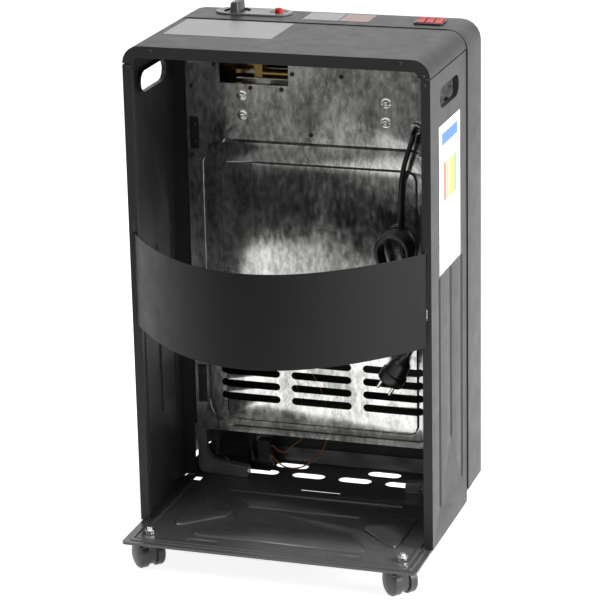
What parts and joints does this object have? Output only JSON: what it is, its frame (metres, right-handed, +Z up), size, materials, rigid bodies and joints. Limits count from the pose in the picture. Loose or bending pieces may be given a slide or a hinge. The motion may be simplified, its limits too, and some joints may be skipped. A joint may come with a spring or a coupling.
{
  "type": "portable gas cabinet heater",
  "caption": "Upright cabinet heater on swivel castors, open at the rear with a bottle strap, a pressed heat shield, a gas burner, electric tubes, top controls and a hanging mains cord",
  "frame": {"origin": "on the floor, under the middle of the bounding box of everything but the mains cord", "axes": "+Z up; heat leaves towards -Y and the gas bottle goes in from +Y; +X is to the right of someone facing the front"},
  "size_m": [0.423, 0.415, 0.7396],
  "materials": {
    "grey_paint": "textured powder coat",
    "dark_paint": "semi-gloss powder coat",
    "galvanised": "galvanised sheet",
    "bright_steel": "bright",
    "brass": "machined",
    "ceramic": "matte, pierced",
    "quartz": "frosted quartz",
    "grey_plastic": "matte",
    "black_plastic": "satin",
    "red_plastic": "gloss",
    "cord_rubber": "satin",
    "brown_wire": "satin"
  },
  "bodies": {
    "cabinet": {"base_plate": "dark_paint", "side_panel_right": "grey_paint", "side_panel_left": "grey_paint", "top_cover": "grey_paint", "front_frame": "grey_paint", "rear_heat_shield": "galvanised", "cord_bush": "bright_steel", "corner_bracket_right": "grey_plastic", "corner_bracket_left": "grey_plastic", "burner_box": "galvanised", "ceramic_plaque_right": "ceramic", "ceramic_plaque_centre": "ceramic", "ceramic_plaque_left": "ceramic", "reflector": "bright_steel", "tube_holder_right": "galvanised", "tube_holder_left": "galvanised", "quartz_tube_1": "quartz", "quartz_tube_2": "quartz", "quartz_tube_3": "quartz", "guard_grille": "bright_steel", "gas_valve_body": "brass", "injector_rail": "brass", "control_plate": "grey_plastic", "piezo_igniter": "black_plastic", "switch_bezel": "black_plastic", "tilt_switch_bracket": "galvanised", "tilt_switch_body": "black_plastic", "tilt_lead_upper": "brown_wire", "tilt_lead_lower": "brown_wire", "pilot_burner": "bright_steel", "mains_cord": "cord_rubber", "cord_hank": "cord_rubber", "cord_tie": "black_plastic", "mains_plug": "black_plastic", "cord_tail": "cord_rubber", "castor_stud_rear_right": "bright_steel", "castor_stud_rear_left": "bright_steel", "castor_stud_front_right": "bright_steel", "castor_stud_front_left": "bright_steel"},
    "strap": {"bottle_strap": "dark_paint"},
    "valve_rod": {"valve_push_rod": "bright_steel"},
    "knob": {"gas_knob": "black_plastic", "valve_spindle": "bright_steel"},
    "igniter_button": {"piezo_button": "red_plastic"},
    "switch_1": {"rocker_switch_1": "red_plastic"},
    "switch_2": {"rocker_switch_2": "red_plastic"},
    "switch_3": {"rocker_switch_3": "red_plastic"},
    "tilt_weight": {"tilt_switch_weight": "brass"},
    "castor_rear_right": {"castor_body_rear_right": "black_plastic"},
    "wheel_rear_right_outer": {"castor_wheel_rear_right_outer": "black_plastic"},
    "wheel_rear_right_inner": {"castor_wheel_rear_right_inner": "black_plastic"},
    "castor_rear_left": {"castor_body_rear_left": "black_plastic"},
    "wheel_rear_left_outer": {"castor_wheel_rear_left_outer": "black_plastic"},
    "wheel_rear_left_inner": {"castor_wheel_rear_left_inner": "black_plastic"},
    "castor_front_right": {"castor_body_front_right": "black_plastic"},
    "wheel_front_right_outer": {"castor_wheel_front_right_outer": "black_plastic"},
    "wheel_front_right_inner": {"castor_wheel_front_right_inner": "black_plastic"},
    "castor_front_left": {"castor_body_front_left": "black_plastic"},
    "wheel_front_left_outer": {"castor_wheel_front_left_outer": "black_plastic"},
    "wheel_front_left_inner": {"castor_wheel_front_left_inner": "black_plastic"}
  },
  "joints": [
    {"name": "strap_lift", "type": "slide", "parent": "cabinet", "child": "strap", "axis": [0, 0, 1], "range_m": [0, 0.014]},
    {"name": "knob_push", "type": "slide", "parent": "cabinet", "child": "valve_rod", "axis": [0, 0, 1], "range_m": [-0.004, 0], "stiffness_N_per_m": 1500, "springref_m": 0.002},
    {"name": "knob_turn", "type": "hinge", "parent": "valve_rod", "child": "knob", "pos_m": [0.129, -0.16805, 0.735], "axis": [0, 0, 1], "range_deg": [0, 200]},
    {"name": "igniter_press", "type": "slide", "parent": "cabinet", "child": "igniter_button", "axis": [0, 0, 1], "range_m": [-0.005, 0], "stiffness_N_per_m": 1200, "springref_m": 0.002},
    {"name": "switch_1_tilt", "type": "hinge", "parent": "cabinet", "child": "switch_1", "pos_m": [-0.1385, -0.15405, 0.7229], "axis": [1, 0, 0], "range_deg": [0, 18]},
    {"name": "switch_2_tilt", "type": "hinge", "parent": "cabinet", "child": "switch_2", "pos_m": [-0.1505, -0.15405, 0.7229], "axis": [1, 0, 0], "range_deg": [0, 18]},
    {"name": "switch_3_tilt", "type": "hinge", "parent": "cabinet", "child": "switch_3", "pos_m": [-0.1625, -0.15405, 0.7229], "axis": [1, 0, 0], "range_deg": [0, 18]},
    {"name": "tilt_weight_swing", "type": "hinge", "parent": "cabinet", "child": "tilt_weight", "pos_m": [0.124, -0.16305, 0.0943], "axis": [0, 1, 0], "range_deg": [-10, 10]},
    {"name": "castor_rear_right_swivel", "type": "hinge", "parent": "cabinet", "child": "castor_rear_right", "pos_m": [0.18, 0.10795, 0.044], "axis": [0, 0, 1], "continuous": true},
    {"name": "wheel_rear_right_outer_roll", "type": "hinge", "parent": "castor_rear_right", "child": "wheel_rear_right_outer", "pos_m": [0.18566, 0.10229, 0.02], "axis": [0.7071, 0.7071, 0], "continuous": true},
    {"name": "wheel_rear_right_inner_roll", "type": "hinge", "parent": "castor_rear_right", "child": "wheel_rear_right_inner", "pos_m": [0.18566, 0.10229, 0.02], "axis": [0.7071, 0.7071, 0], "continuous": true},
    {"name": "castor_rear_left_swivel", "type": "hinge", "parent": "cabinet", "child": "castor_rear_left", "pos_m": [-0.18, 0.10795, 0.044], "axis": [0, 0, 1], "continuous": true},
    {"name": "wheel_rear_left_outer_roll", "type": "hinge", "parent": "castor_rear_left", "child": "wheel_rear_left_outer", "pos_m": [-0.17434, 0.10229, 0.02], "axis": [0.7071, 0.7071, 0], "continuous": true},
    {"name": "wheel_rear_left_inner_roll", "type": "hinge", "parent": "castor_rear_left", "child": "wheel_rear_left_inner", "pos_m": [-0.17434, 0.10229, 0.02], "axis": [0.7071, 0.7071, 0], "continuous": true},
    {"name": "castor_front_right_swivel", "type": "hinge", "parent": "cabinet", "child": "castor_front_right", "pos_m": [0.167, -0.16705, 0.044], "axis": [0, 0, 1], "continuous": true},
    {"name": "wheel_front_right_outer_roll", "type": "hinge", "parent": "castor_front_right", "child": "wheel_front_right_outer", "pos_m": [0.17266, -0.17271, 0.02], "axis": [0.7071, 0.7071, 0], "continuous": true},
    {"name": "wheel_front_right_inner_roll", "type": "hinge", "parent": "castor_front_right", "child": "wheel_front_right_inner", "pos_m": [0.17266, -0.17271, 0.02], "axis": [0.7071, 0.7071, 0], "continuous": true},
    {"name": "castor_front_left_swivel", "type": "hinge", "parent": "cabinet", "child": "castor_front_left", "pos_m": [-0.167, -0.16705, 0.044], "axis": [0, 0, 1], "continuous": true},
    {"name": "wheel_front_left_outer_roll", "type": "hinge", "parent": "castor_front_left", "child": "wheel_front_left_outer", "pos_m": [-0.16134, -0.17271, 0.02], "axis": [0.7071, 0.7071, 0], "continuous": true},
    {"name": "wheel_front_left_inner_roll", "type": "hinge", "parent": "castor_front_left", "child": "wheel_front_left_inner", "pos_m": [-0.16134, -0.17271, 0.02], "axis": [0.7071, 0.7071, 0], "continuous": true}
  ]
}
